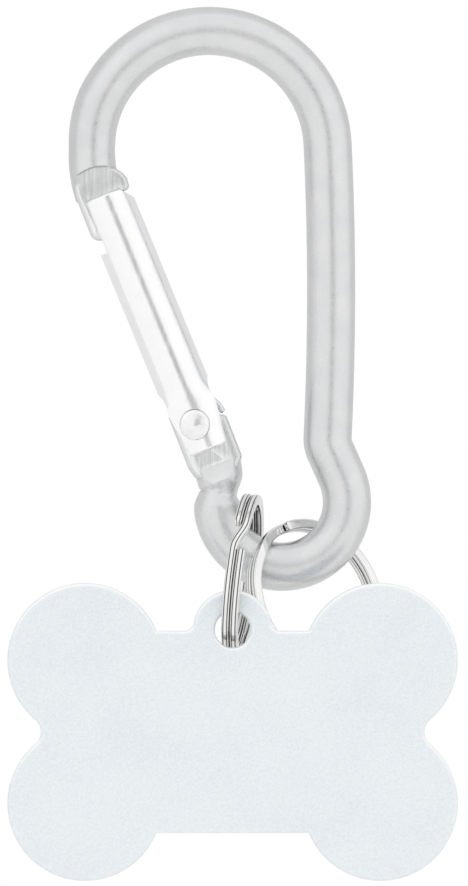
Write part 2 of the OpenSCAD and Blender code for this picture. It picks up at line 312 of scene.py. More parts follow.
def run_out(side):
    """The hinge's flats end in the sweep of the cutter, which climbs back to the round of the rod."""
    profile = [(RUN_OUT_TOP, HALF_T), (RUN_OUT, HALF_T), (RUN_OUT - 0.9, HALF_T + 0.2),
               (RUN_OUT - 1.5, HALF_T + 0.48), (RUN_OUT - 1.75, HALF_T + 0.8),
               (RUN_OUT - 1.75, PAST), (RUN_OUT_TOP, PAST)]
    return prism("run_out", profile, RUN_OUT_LEFT, RUN_OUT_RIGHT,
                 lambda up, deep, x: at_gate(x, up, side * deep))


nose_cut = round_end(NOSE_CUT_X, NOSE_CUT_Y, NOSE_CUT_R, NOSE_CUT_FOOT, 40)
cut(hook_rod, run_out(1), run_out(-1), *milled(nose_cut))
join(hook_rod, plate("hinge", hinge_outline, HALF_T, 0.4), plate("nose", nose_outline, HALF_T, 0.34))
# The nose's flats fall away to the gate's tip
BAND_TOP, BAND_FOOT, BAND_LEFT, BAND_RIGHT = gate_top + 0.72, gate_top - 0.9, -1.66, 1.75
BAND_DEPTH = 0.2
tip_band = [(BAND_TOP, HALF_T + HAIR), (BAND_FOOT, HALF_T - BAND_DEPTH), (BAND_FOOT, PAST), (BAND_TOP, PAST)]
cut(hook_rod, *[prism("band", tip_band, BAND_LEFT, BAND_RIGHT,
                      lambda up, deep, x, s=s: at_gate(x, up, s * deep)) for s in (1, -1)])
# The rivet's hole, and a groove round the tongue's edge, through the shoulder, for the spring's free end
PIN_R, PIN_PLAY, SEAT_PLAY = 0.75, 0.05, 0.02
GROOVE_FOOT_R, GROOVE_R, GROOVE_W = 2.32, 2.98, 0.64
groove = ([(GROOVE_FOOT_R * cosd(a), GROOVE_FOOT_R * sind(a)) for a in range(-48, 13, 6)]
          + [(GROOVE_R * cosd(a), GROOVE_R * sind(a)) for a in range(12, -49, -6)])
bore_r = PIN_R + PIN_PLAY
cut(hook_rod, prism("bore", [(bore_r * cosd(a), bore_r * sind(a)) for a in range(0, 360, 10)], -PAST, PAST),
    prism("groove", groove, -GROOVE_W / 2, GROOVE_W / 2))
smooth(hook_rod, sharp_over=30)

# The gate: a turned bar, slotted at both ends, its foot a little nearer the inside than its tip
BAR_DRIFT = 0.33
NOSE_SLOT_FOOT, SLOT_RIGHT = gate_top - 4.7, 1.67
SEAT_R, RIVET_FACE = 1.32, 1.9
# Up the bar, how much wider than round its cheeks were pressed
PRESSED = [(-2.4, 1.0), (-1.0, 1.07), (0.5, 1.2), (1.2, 1.25), (2.0, 1.24),
           (2.5, 1.13), (3.0, 1.05), (3.5, 1.0), (30.0, 1.0)]
BAR_EASE, RING_STEP = 0.2, 0.3
# The tip's slope goes down the inner side and in across the top. Its cutter reaches past both, and each
# reach takes it a little further along the other.
SLOPE_DOWN, SLOPE_IN = 1.1, 0.9
OVER_SIDE, OVER_SIDE_DOWN, OVER_TOP, OVER_TOP_IN = 0.3, 0.3667, 1.0, 0.8182
SPRING_BORE_R, SPRING_BORE_FOOT, SPRING_BORE_TOP = 0.33, HINGE_SLOT - 1, 8.8


def on_bar(x, y, depth=0.0):
    for (y0, s0), (y1, s1) in zip(PRESSED, PRESSED[1:]):
        if y0 <= y <= y1:
            x *= s0 + (s1 - s0) * (y - y0) / (y1 - y0)
            break
    return at_gate(x + BAR_DRIFT * (1 - y / gate_top), y, depth)


def across_pin(x, deep, y):
    return at_gate(x, y, deep)


def bar_profile():
    foot = [(GATE_R - BAR_EASE * (1 - sind(a)), BAR_EASE * (1 - cosd(a)) - GATE_TAIL)
            for a in range(0, 91, 10)]
    tip = [(r, gate_top - h - GATE_TAIL) for r, h in reversed(foot)]
    rings = int((gate_top + GATE_TAIL) / RING_STEP)
    shank = [(GATE_R, -GATE_TAIL + (gate_top + GATE_TAIL) * i / rings) for i in range(1, rings)]
    return [(HAIR, -GATE_TAIL)] + foot + shank + tip + [(HAIR, gate_top)]


gate_bar = in_triangles(lathe("gate_bar", bar_profile(), 96, on_bar))
hinge_slot = [(up, deep) for deep, up in
              round_end(0, HINGE_SLOT - SLOT_W / 2, SLOT_W / 2, -GATE_TAIL - 1, 25)]
tip_slope = [(GATE_R + OVER_SIDE, gate_top - SLOPE_DOWN - OVER_SIDE_DOWN),
             (GATE_R + OVER_SIDE, gate_top + OVER_TOP),
             (GATE_R - SLOPE_IN - OVER_TOP_IN, gate_top + OVER_TOP)]
cut(gate_bar,
    prism("slot", hinge_slot, -PAST, PAST, lambda up, deep, x: at_gate(x, up, deep)),
    prism("slot", box_outline(-PAST, SLOT_RIGHT, NOSE_SLOT_FOOT, gate_top + OVER_TOP),
          -SLOT_W / 2, SLOT_W / 2),
    prism("tip", tip_slope, -PAST, PAST),
    lathe("bore", [(HAIR, SPRING_BORE_FOOT), (SPRING_BORE_R, SPRING_BORE_FOOT),
                   (SPRING_BORE_R, SPRING_BORE_TOP), (HAIR, SPRING_BORE_TOP)], 25, at_gate),
    lathe("seats", [(HAIR, -PAST), (SEAT_R, -PAST), (SEAT_R, -RIVET_FACE), (PIN_R + SEAT_PLAY, -RIVET_FACE),
                    (PIN_R + SEAT_PLAY, RIVET_FACE), (SEAT_R, RIVET_FACE), (SEAT_R, PAST), (HAIR, PAST)],
          48, across_pin))
smooth(gate_bar, sharp_over=14)

# The rivet, headed over at both ends: a full round rim and a top hammered nearly flat
HEAD_R, HEAD_H, HEAD_RIM, HEAD_DOME = 1.3, 0.52, 0.4, 0.12
head_foot = RIVET_FACE + SEAT_PLAY
head_top = head_foot + HEAD_H
RIM_FLAT, DOME_R = 0.8, 0.9
rim_h = HEAD_RIM * RIM_FLAT
head = ([(HEAD_R, head_foot)]
        + [(HEAD_R - HEAD_RIM + HEAD_RIM * cosd(a), head_top - rim_h + rim_h * sind(a))
           for a in range(0, 81, 10)]
        + [(r, head_top + HEAD_DOME * (1 - (r / DOME_R) ** 2)) for r in (0.8, 0.6, 0.4, 0.2, HAIR)])
rivet_profile = [(r, -h) for r, h in reversed(head)] + [(PIN_R, -head_foot), (PIN_R, head_foot)] + head
hinge_pin = lathe("hinge_pin", rivet_profile, 48, across_pin)
# A low blow of the hammer leaves a second face across each head, a little askew
BLOW_FOOT, BLOW_EDGE, BLOW_SINK, BLOW_SKEW = -2.0, -0.15, 0.1, 0.35
blow = [(BLOW_FOOT, RIVET_FACE + BLOW_SINK), (BLOW_EDGE, RIVET_FACE + HEAD_H + HEAD_DOME),
        (BLOW_EDGE, PAST), (BLOW_FOOT, PAST)]
for s in (1, -1):
    cut(hinge_pin, prism("blow", blow, -PAST, PAST,
                         lambda up, deep, x, s=s: at_gate(x + BLOW_SKEW * up, up, s * deep)))
smooth(hinge_pin, sharp_over=24)

# The gate's spring: a leg in the bore, a small bend, and a wrap over the tongue to its shoulder
WIRE_R, SPRING_BEND, WRAP_R, WRAP_END, LEG_TOP = 0.25, 0.5, 2.625, 4, 8.5
drop = math.sqrt((WRAP_R + SPRING_BEND) ** 2 - SPRING_BEND ** 2)
wrap_turn = math.degrees(math.atan2(drop, SPRING_BEND))
spring_way = ([(0, LEG_TOP, -90)]
              + arc_way(Vector((SPRING_BEND, drop)), SPRING_BEND, 180, 180 + wrap_turn, 14)
              + arc_way(Vector((0, 0)), WRAP_R, wrap_turn, WRAP_END, 24)[1:])
spring_way = [(x, y, h, WIRE_R) for x, y, h in spring_way]
# The wire's cut end, rounded off
for inset, r in ((0.03, 0.21), (0.06, 0.12)):
    x, y, h = spring_way[-1][:3]
    spring_way.append((x, y - inset, h, r))
spring_wire = smooth(sweep("spring_wire", spring_way, 20, at_gate), sharp_over=50)

# Split rings: one wire of two turns, with a ramp between them
RING_OD, WIRE_T, TURN_W, TURN_GAP = 14.0, 0.85, 0.68, 0.04
ring_r, pitch = (RING_OD - WIRE_T) / 2, TURN_W + TURN_GAP


def wire_section(corner=0.2, steps=4):
    """A rectangle with rounded corners: (from bore to rim, across the turn)."""
    out = []
    for cx, cy, start in [(1, 1, 0), (-1, 1, 90), (-1, -1, 180), (1, -1, 270)]:
        for i in range(steps + 1):
            a = start + 90 * i / steps
            out.append((cx * (WIRE_T / 2 - corner) + corner * cosd(a),
                        cy * (TURN_W / 2 - corner) + corner * sind(a)))
    return out


def turn_side(a, ramp):
    """Which turn the wire is in: it crosses from the first to the second in the ramp before a full circle."""
    if a < 360 - ramp:
        return 1.0
    return -1.0 if a > 360 else cosd(180 * (a - 360 + ramp) / ramp)


def split_ring(name, centre, tilt, turn, phase, ramp, hand):
    """A ring about its centre, leant back by tilt and turned in the hook's plane. The wire starts at phase,
    in the turn that hand gives, and crosses to the other turn over the angle ramp."""
    sweep_turn, step = 720 - ramp, 3.0
    # The wire's ends are rounded off: millimetres from the cut, and the share of the section there
    ease = [(0.0, 0.6), (0.03, 0.8), (0.08, 0.94), (0.16, 1.0)]
    ends = [(math.degrees(mm / ring_r), s) for mm, s in ease]
    stations = ends + [(step * i, 1.0) for i in range(1, int(sweep_turn / step))]
    stations += [(sweep_turn - a, s) for a, s in reversed(ends)]
    section, rings, lengths = wire_section(), [], []
    for a, size in stations:
        ring = []
        for t, w in section:
            r, up, b = ring_r + size * t, hand * turn_side(a, ramp) * pitch / 2 + size * w, a + phase
            x, y = r * cosd(b), r * sind(b)
            x, z = x * cosd(tilt) + up * sind(tilt), -x * sind(tilt) + up * cosd(tilt)
            ring.append(in_plane(centre[0] + x * cosd(turn) - y * sind(turn),
                                 centre[1] + x * sind(turn) + y * cosd(turn), centre[2] + z))
        rings.append(ring)
        lengths.append(math.radians(a) * ring_r)
    return smooth(loft(name, rings, [w for t, w in section], lengths), sharp_over=50)


tag_split_ring = split_ring("tag_split_ring", (2.8603, -44.2692, 3.4088),
                            tilt=83.3, turn=-6.9, phase=160, ramp=22, hand=1)
key_split_ring = split_ring("key_split_ring", (9.0445, -46.219, 0.3938),
                            tilt=42.9, turn=27.4, phase=125, ramp=40, hand=-1)

# The tag: stamped from sheet, its edges rolled over by tumbling
TAG_W, TAG_H, TAG_LOBE_R, TAG_SHAFT_H, TAG_T = 38.1, 25.2, 6.55, 17.1, 1.0
EAR_R, HOLE_R, WAIST_FILLET, EAR_FILLET = 3.35, 1.5, 1.35, 0.8
# The middle of the hole, in front of the empty ring, as the part's source works it out
hole_at = (2.0131, -48.765, 7.9302)
hole_y = TAG_SHAFT_H / 2 + 0.1
lobe_x, lobe_y = TAG_W / 2 - TAG_LOBE_R, TAG_H / 2 - TAG_LOBE_R


def arc_points(at, r, start, end, steps):
    return [Vector(at) + along(start + (end - start) * i / steps, r) for i in range(steps + 1)]


def bone_outline():
    waist_out = math.sqrt((TAG_LOBE_R + WAIST_FILLET) ** 2 - lobe_y ** 2)
    waist_turn = math.degrees(math.atan2(lobe_y, waist_out))
    waist_x = lobe_x + waist_out
    edge_turn = math.degrees(math.asin((TAG_SHAFT_H / 2 - lobe_y) / TAG_LOBE_R))
    foot_y = TAG_SHAFT_H / 2 + EAR_FILLET
    foot_x = math.sqrt((EAR_R + EAR_FILLET) ** 2 - (foot_y - hole_y) ** 2)
    foot_turn = math.degrees(math.atan2(foot_y - hole_y, foot_x))
    return (arc_points((lobe_x, lobe_y), TAG_LOBE_R, -waist_turn, 180 - edge_turn, 90)
            + arc_points((foot_x, foot_y), EAR_FILLET, 270, 180 + foot_turn, 12)
            + arc_points((0, hole_y), EAR_R, foot_turn, 180 - foot_turn, 56)[1:]
            + arc_points((-foot_x, foot_y), EAR_FILLET, -foot_turn, -90, 12)[1:]
            + arc_points((-lobe_x, lobe_y), TAG_LOBE_R, edge_turn, 180 + waist_turn, 90)
            + arc_points((-waist_x, 0), WAIST_FILLET, waist_turn, -waist_turn, 24)[1:]
            + arc_points((-lobe_x, -lobe_y), TAG_LOBE_R, 180 - waist_turn, 360 - edge_turn, 90)[1:]
            + arc_points((lobe_x, -lobe_y), TAG_LOBE_R, 180 + edge_turn, 360 + waist_turn, 90)
            + arc_points((waist_x, 0), WAIST_FILLET, 180 + waist_turn, 180 - waist_turn, 24)[1:-1])


# Across the sheet's edge: (how far in from the outline, depth), with the face's own first step at each end
RIM = [(0.42, 0.5), (0.4, 0.5), (0.25, 0.485), (0.12, 0.44), (0.035, 0.36), (0.0, 0.24),
       (0.0, -0.24), (0.035, -0.36), (0.12, -0.44), (0.25, -0.485), (0.4, -0.5), (0.42, -0.5)]


def bone_sheet():
    verts, faces, caps = [], [], ([], [])
    hole = [Vector((0, hole_y)) + along(-360 * i / 72, HOLE_R) for i in range(72)]
    for points in (bone_outline(), hole):
        n, base, steps = len(points), len(verts), inward(points)
        for inset, depth in RIM:
            for p, s in zip(points, steps):
                x, y = p + s * inset
                verts.append(in_plane(hole_at[0] + x, hole_at[1] - hole_y + y, hole_at[2] + depth * TAG_T))
        for i in range(len(RIM) - 1):
            for j in range(n):
                k = (j + 1) % n
                row = base + i * n
                faces.append((row + j, row + k, row + n + k, row + n + j))
        for side, row in ((0, 0), (1, len(RIM) - 1)):
            caps[side].extend((base + row * n + j, base + row * n + (j + 1) % n) for j in range(n))
    mesh = bpy.data.meshes.new("tag_sheet")
    mesh.from_pydata([tuple(v) for v in verts], [], faces)
    bm = bmesh.new()
    bm.from_mesh(mesh)
    bm.verts.ensure_lookup_table()
    for side in caps:
        edges = [bm.edges.get((bm.verts[a], bm.verts[b])) for a, b in side]
        bmesh.ops.triangle_fill(bm, edges=edges, use_beauty=True, use_dissolve=False)
    bmesh.ops.recalc_face_normals(bm, faces=bm.faces)
    bm.to_mesh(mesh)
    bm.free()
    obj = bpy.data.objects.new("tag_sheet", mesh)
    bpy.context.scene.collection.objects.link(obj)
    return smooth(obj, sharp_over=40)


tag_sheet = bone_sheet()


# Materials. Each pattern's scale is its repeats to the metre. Pits, lines and grain are drawn coarser than
# they are on the metal, so that they show at the photograph's 0.085 mm to a pixel.
PITS, ROD_CLOUDS = 3800.0, 450.0  # tumbling pits 0.26 mm apart, slow unevenness each 2.2 mm
STROKES_ACROSS, STROKES_ALONG = 4500.0, 350.0  # the cutter's lines: 0.22 mm apart, 2.9 mm long
POLISH_ACROSS, POLISH_ALONG, BAR_CLOUDS = 5000.0, 180.0, 500.0  # 0.2 mm apart, 5.6 mm long; clouds of 2 mm
BLAST_GRAIN, SHEET_CLOUDS = 5200.0, 160.0  # blasted grain of 0.19 mm, drift of the anodising each 6 mm
HAMMER_GRAIN = 1400.0  # dents of 0.7 mm
PAINTED_SHADE_REACH = 0.3 * MM  # how far the painted shade in a corner or groove reaches
SQUARE_ON = 0.985  # how nearly a milled flat faces the front or back


def linear(hex_colour):
    """An sRGB hex colour as linear RGBA."""
    out = []
    for i in (0, 2, 4):
        c = int(hex_colour[i:i + 2], 16) / 255
        out.append(c / 12.92 if c <= 0.04045 else ((c + 0.055) / 1.055) ** 2.4)
    return (*out, 1.0)


def add(tree, kind, links=None, stops=(), **settings):
    """One node with its settings, its ramp's stops and what feeds it, by input name or number."""
    n = tree.nodes.new(kind)
    for name, value in settings.items():
        setattr(n, name, value)
    for name, value in (links or {}).items():
        if isinstance(value, bpy.types.NodeSocket):
            tree.links.new(value, n.inputs[name])
        else:
            n.inputs[name].default_value = value
    for i, (position, colour) in enumerate(stops):
        stop = n.color_ramp.elements[i] if i < 2 else n.color_ramp.elements.new(position)
        stop.position, stop.color = position, colour
    return n


def grey(v):
    return (v, v, v, 1.0)


def finish_material(name):
    mat = bpy.data.materials.new(name)
    mat.use_nodes = True
    tree = mat.node_tree
    tree.nodes.clear()
    shader = add(tree, "ShaderNodeBsdfPrincipled")
    add(tree, "ShaderNodeOutputMaterial", {"Surface": shader.outputs[0]})
    return mat, tree, shader


def tumbled_aluminium():
    """Bent aluminium rod, tumbled and clear anodised: a soft even grey with fine pits. Its milled flats are
    sharper, with the cutter's lines along them, and painted shade darkens the inside corners of the milling."""
    mat, tree, shader = finish_material("tumbled_anodised_aluminium_rod")
    coord = add(tree, "ShaderNodeTexCoord").outputs
    deep = add(tree, "ShaderNodeSeparateXYZ", {0: coord["Object"]}).outputs["Y"]
    deep = add(tree, "ShaderNodeMath", {0: deep}, operation="ABSOLUTE").outputs[0]
    low = add(tree, "ShaderNodeMath", {0: deep, 1: (HALF_T + HAIR) * MM}, operation="LESS_THAN").outputs[0]
    facing = add(tree, "ShaderNodeSeparateXYZ", {0: coord["Normal"]}).outputs["Y"]
    facing = add(tree, "ShaderNodeMath", {0: facing}, operation="ABSOLUTE").outputs[0]
    facing = add(tree, "ShaderNodeMath", {0: facing, 1: SQUARE_ON}, operation="GREATER_THAN").outputs[0]
    flat = add(tree, "ShaderNodeMath", {0: low, 1: facing}, operation="MULTIPLY").outputs[0]
    pits = add(tree, "ShaderNodeTexNoise",
               {"Vector": coord["Object"], "Scale": PITS, "Detail": 3.0, "Roughness": 0.6}).outputs["Fac"]
    cloud = add(tree, "ShaderNodeTexNoise",
                {"Vector": coord["Object"], "Scale": ROD_CLOUDS, "Detail": 2.0}).outputs["Fac"]
    strokes = add(tree, "ShaderNodeMapping",
                  {"Vector": coord["Object"], "Rotation": (0.0, math.radians(gate_tilt), 0.0),
                   "Scale": (STROKES_ACROSS, 0.0, STROKES_ALONG)}).outputs[0]
    strokes = add(tree, "ShaderNodeTexNoise", {"Vector": strokes, "Scale": 1.0, "Detail": 3.0}).outputs["Fac"]
    tumbled = add(tree, "ShaderNodeValToRGB",
                  {"Fac": cloud}, [(0.3, linear("DBDCDD")), (0.7, linear("E2E2E3"))]).outputs[0]
    cutter = add(tree, "ShaderNodeValToRGB",
                 {"Fac": strokes}, [(0.35, linear("EAEBEC")), (0.65, linear("FAFAFB"))]).outputs[0]
    colour = add(tree, "ShaderNodeMix", {0: flat, 6: tumbled, 7: cutter}, data_type="RGBA").outputs[2]
    # Painted shade: ambient occlusion darkens the base colour in corners and crevices, down to half
    occlusion_for_painted_shade = add(tree, "ShaderNodeAmbientOcclusion",
                   {"Distance": PAINTED_SHADE_REACH}, only_local=True, samples=8).outputs["AO"]
    painted_corner_shade = add(tree, "ShaderNodeValToRGB",
                  {"Fac": occlusion_for_painted_shade}, [(0.5, grey(0.5)), (0.9, grey(1.0))]).outputs[0]
    colour = add(tree, "ShaderNodeMix",
                 {0: 1.0, 6: colour, 7: painted_corner_shade}, data_type="RGBA", blend_type="MULTIPLY").outputs[2]
    tree.links.new(colour, shader.inputs["Base Color"])
    rough = add(tree, "ShaderNodeMapRange",
                {"Value": pits, "From Min": 0.3, "From Max": 0.7, "To Min": 0.26, "To Max": 0.38}).outputs[0]
    rough = add(tree, "ShaderNodeMix", {0: flat, 2: rough, 3: 0.2}).outputs[0]
    tree.links.new(rough, shader.inputs["Roughness"])
    grain = add(tree, "ShaderNodeMix", {0: flat, 2: pits, 3: strokes}).outputs[0]
    bump = add(tree, "ShaderNodeBump", {"Height": grain, "Strength": 0.12, "Distance": 0.04 * MM})
    swell = add(tree, "ShaderNodeBump",
                {"Height": cloud, "Strength": 0.15, "Distance": 0.1 * MM, "Normal": bump.outputs[0]})
    tree.links.new(swell.outputs[0], shader.inputs["Normal"])
    shader.inputs["Metallic"].default_value = 1.0
    return mat


def turned_aluminium():
    """Aluminium bar, turned and barrel polished: brighter than the rod, with faint lines along it."""
    mat, tree, shader = finish_material("barrel_polished_aluminium_bar")
    place = add(tree, "ShaderNodeTexCoord").outputs["Object"]
    turned = add(tree, "ShaderNodeMapping",
                 {"Vector": place, "Rotation": (0.0, math.radians(gate_tilt), 0.0),
                  "Scale": (POLISH_ACROSS, POLISH_ACROSS, POLISH_ALONG)}).outputs[0]
    lines = add(tree, "ShaderNodeTexNoise", {"Vector": turned, "Scale": 1.0, "Detail": 2.0}).outputs["Fac"]
    cloud = add(tree, "ShaderNodeTexNoise",
                {"Vector": place, "Scale": BAR_CLOUDS, "Detail": 2.0}).outputs["Fac"]
    tone = add(tree, "ShaderNodeValToRGB",
               {"Fac": cloud}, [(0.3, linear("F9F9FA")), (0.7, linear("FDFDFE"))]).outputs[0]
    tree.links.new(tone, shader.inputs["Base Color"])
    rough = add(tree, "ShaderNodeMapRange",
                {"Value": lines, "From Min": 0.3, "From Max": 0.7, "To Min": 0.16, "To Max": 0.26})
    tree.links.new(rough.outputs[0], shader.inputs["Roughness"])
    bump = add(tree, "ShaderNodeBump", {"Height": lines, "Strength": 0.08, "Distance": 0.03 * MM})
    tree.links.new(bump.outputs[0], shader.inputs["Normal"])
    shader.inputs["Metallic"].default_value = 1.0
    return mat


def nickel_plate(name, painted_line_level):
    """Flattened spring steel wire, nickel plated: a near mirror that wavers every 3 mm along the wire, with a
    painted dark reflection line along each corner, and painted shade in the narrow groove between the turns.
    The second argument is how light the painted reflection lines are."""
    mat, tree, shader = finish_material(name)
    uv = add(tree, "ShaderNodeUVMap", uv_map="wire").outputs[0]
    drawn = add(tree, "ShaderNodeMapping", {"Vector": uv, "Scale": (3.0, 0.35, 1.0)}).outputs[0]
    waver = add(tree, "ShaderNodeTexNoise", {"Vector": drawn, "Scale": 1.0, "Detail": 2.0}).outputs["Fac"]
    plating = add(tree, "ShaderNodeValToRGB",
                  {"Fac": waver}, [(0.3, linear("ECECEC")), (0.7, linear("F8F8F7"))]).outputs[0]
    # Painted reflection: a dark line multiplied into the colour along each rounded corner of the wire
    across = add(tree, "ShaderNodeSeparateXYZ", {0: uv}).outputs["X"]
    across = add(tree, "ShaderNodeMath", {0: across}, operation="ABSOLUTE").outputs[0]
    lines = add(tree, "ShaderNodeValToRGB",
                {"Fac": across}, [(0.09, grey(1.0)), (0.13, grey(painted_line_level)),
                                  (0.19, grey(painted_line_level)), (0.23, grey(1.0))]).outputs[0]
    colour = add(tree, "ShaderNodeMix",
                 {0: 1.0, 6: plating, 7: lines}, data_type="RGBA", blend_type="MULTIPLY").outputs[2]
    # Painted shade: ambient occlusion darkens the colour nearly to black in the narrow groove between the
    # turns
    occlusion_for_painted_shade = add(tree, "ShaderNodeAmbientOcclusion",
                   {"Distance": PAINTED_SHADE_REACH}, only_local=True, samples=8).outputs["AO"]
    groove = add(tree, "ShaderNodeValToRGB",
                 {"Fac": occlusion_for_painted_shade}, [(0.35, grey(0.05)), (0.8, grey(1.0))]).outputs[0]
    colour = add(tree, "ShaderNodeMix",
                 {0: 1.0, 6: colour, 7: groove}, data_type="RGBA", blend_type="MULTIPLY").outputs[2]
    tree.links.new(colour, shader.inputs["Base Color"])
    rough = add(tree, "ShaderNodeMapRange",
                {"Value": waver, "From Min": 0.3, "From Max": 0.7, "To Min": 0.04, "To Max": 0.1})
    tree.links.new(rough.outputs[0], shader.inputs["Roughness"])
    bump = add(tree, "ShaderNodeBump", {"Height": waver, "Strength": 0.2, "Distance": 0.06 * MM})
    tree.links.new(bump.outputs[0], shader.inputs["Normal"])
    shader.inputs["Metallic"].default_value = 1.0
    return mat


def blasted_sheet():
    """Aluminium sheet, fine blasted and clear anodised: very pale, a little blue, with a fine even grain.
    Where the rolled rim faces up it is burnished smoother by tumbling, and a painted highlight makes it
    whiter there."""
    mat, tree, shader = finish_material("blasted_anodised_aluminium_sheet")
    place = add(tree, "ShaderNodeTexCoord").outputs["Object"]
    grain = add(tree, "ShaderNodeTexNoise",
                {"Vector": place, "Scale": BLAST_GRAIN, "Detail": 2.0, "Roughness": 0.7}).outputs["Fac"]
    cloud = add(tree, "ShaderNodeTexNoise",
                {"Vector": place, "Scale": SHEET_CLOUDS, "Detail": 1.0}).outputs["Fac"]
    tone = add(tree, "ShaderNodeMath", {0: grain, 1: 0.75}, operation="MULTIPLY").outputs[0]
    tone = add(tree, "ShaderNodeMath", {0: cloud, 1: 0.25, 2: tone}, operation="MULTIPLY_ADD").outputs[0]
    colour = add(tree, "ShaderNodeValToRGB",
                 {"Fac": tone}, [(0.35, linear("EBF0F5")), (0.65, linear("F6FBFE"))]).outputs[0]
    # Painted highlight: the rim's colour is whitened where it faces up, and it is made smoother there too
    facing = add(tree, "ShaderNodeTexCoord").outputs["Normal"]
    facing_up = add(tree, "ShaderNodeSeparateXYZ", {0: facing}).outputs["Z"]
    painted_highlight_and_polish = add(tree, "ShaderNodeMapRange",
                 {"Value": facing_up, "From Min": 0.1, "From Max": 0.35}).outputs[0]
    colour = add(tree, "ShaderNodeMix",
                 {0: painted_highlight_and_polish, 6: colour, 7: linear("FDFEFE")}, data_type="RGBA").outputs[2]
    tree.links.new(colour, shader.inputs["Base Color"])
    bump = add(tree, "ShaderNodeBump", {"Height": grain, "Strength": 0.05, "Distance": 0.03 * MM})
    tree.links.new(bump.outputs[0], shader.inputs["Normal"])
    rough = add(tree, "ShaderNodeMix", {0: painted_highlight_and_polish, 2: 0.5, 3: 0.3}).outputs[0]
    tree.links.new(rough, shader.inputs["Roughness"])
    shader.inputs["Metallic"].default_value = 0.6
    return mat


def hammered_rivet():
    """Aluminium rivet, headed over cold: as bright as the bar, with the hammer's faces on it."""
    mat, tree, shader = finish_material("cold_headed_aluminium_rivet")
    place = add(tree, "ShaderNodeTexCoord").outputs["Object"]
    grain = add(tree, "ShaderNodeTexNoise",
                {"Vector": place, "Scale": HAMMER_GRAIN, "Detail": 3.0}).outputs["Fac"]
    colour = add(tree, "ShaderNodeValToRGB",
                 {"Fac": grain}, [(0.3, linear("EFEFF0")), (0.7, linear("FAFAFB"))]).outputs[0]
    tree.links.new(colour, shader.inputs["Base Color"])
    bump = add(tree, "ShaderNodeBump", {"Height": grain, "Strength": 0.25, "Distance": 0.1 * MM})
    tree.links.new(bump.outputs[0], shader.inputs["Normal"])
    shader.inputs["Metallic"].default_value = 1.0
    shader.inputs["Roughness"].default_value = 0.22
    return mat


def drawn_wire():
    """Spring steel wire, bright drawn: a little darker than the plated pieces, with lines along it."""
    mat, tree, shader = finish_material("bright_drawn_spring_steel")
    uv = add(tree, "ShaderNodeUVMap", uv_map="wire").outputs[0]
    drawn = add(tree, "ShaderNodeMapping", {"Vector": uv, "Scale": (8.0, 1.2, 1.0)}).outputs[0]
    lines = add(tree, "ShaderNodeTexNoise", {"Vector": drawn, "Scale": 1.0, "Detail": 2.0}).outputs["Fac"]
    colour = add(tree, "ShaderNodeValToRGB",
                 {"Fac": lines}, [(0.3, linear("E4E5E6")), (0.7, linear("F2F3F4"))]).outputs[0]
    tree.links.new(colour, shader.inputs["Base Color"])
    bump = add(tree, "ShaderNodeBump", {"Height": lines, "Strength": 0.1, "Distance": 0.02 * MM})
    tree.links.new(bump.outputs[0], shader.inputs["Normal"])
    shader.inputs["Metallic"].default_value = 1.0
    shader.inputs["Roughness"].default_value = 0.28
    return mat


rod_finish, bar_finish = tumbled_aluminium(), turned_aluminium()
# The same plating on both rings; the key ring's painted reflection lines are lighter
tag_plate = nickel_plate("nickel_plated_steel_wire", 0.12)
key_plate = nickel_plate("nickel_plated_steel_wire_lighter_painted_lines", 0.45)
sheet_finish, rivet_finish, wire_finish = blasted_sheet(), hammered_rivet(), drawn_wire()

for piece, body, node, slot, finish in (
        (hook_rod, "hook", "carabiner_body", "rod", rod_finish),
        (gate_bar, "gate", "gate", "gate_bar", bar_finish),
        (hinge_pin, "gate", "hinge_rivet", "rivet", rivet_finish),
        (spring_wire, "gate", "gate_spring", "spring_wire", wire_finish),
        (tag_split_ring, "tag_ring", "tag_ring", "ring_plating", tag_plate),
        (tag_sheet, "tag", "bone_tag", "tag_sheet", sheet_finish),
        (key_split_ring, "key_ring", "key_ring", "ring_plating", key_plate)):
    piece.data.materials.clear()
    piece.data.materials.append(finish)
    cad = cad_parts[node]
    cad.data.materials.clear()
    cad.data.materials.append(finish)
    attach(piece, body)
    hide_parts(node)


# Studio. How light the tent is behind, below and in the lens gap, against 1 in front
BEHIND, BELOW, GAP = 0.76, 0.88, 0.5
BEHIND_WAY = (-0.2, 0.98, 0.0)
# The gap's middle and half its width and height, as parts of a unit direction, and what keeps it off the
# far side
GAP_X, GAP_Z, GAP_HALF_W, GAP_HALF_H, FAR_SIDE = 0.13, -0.2, 0.18, 0.6, 9.0
FLOOR_Z, FLOOR_R, FLOOR_LIFT = -0.09, 0.5, 0.16


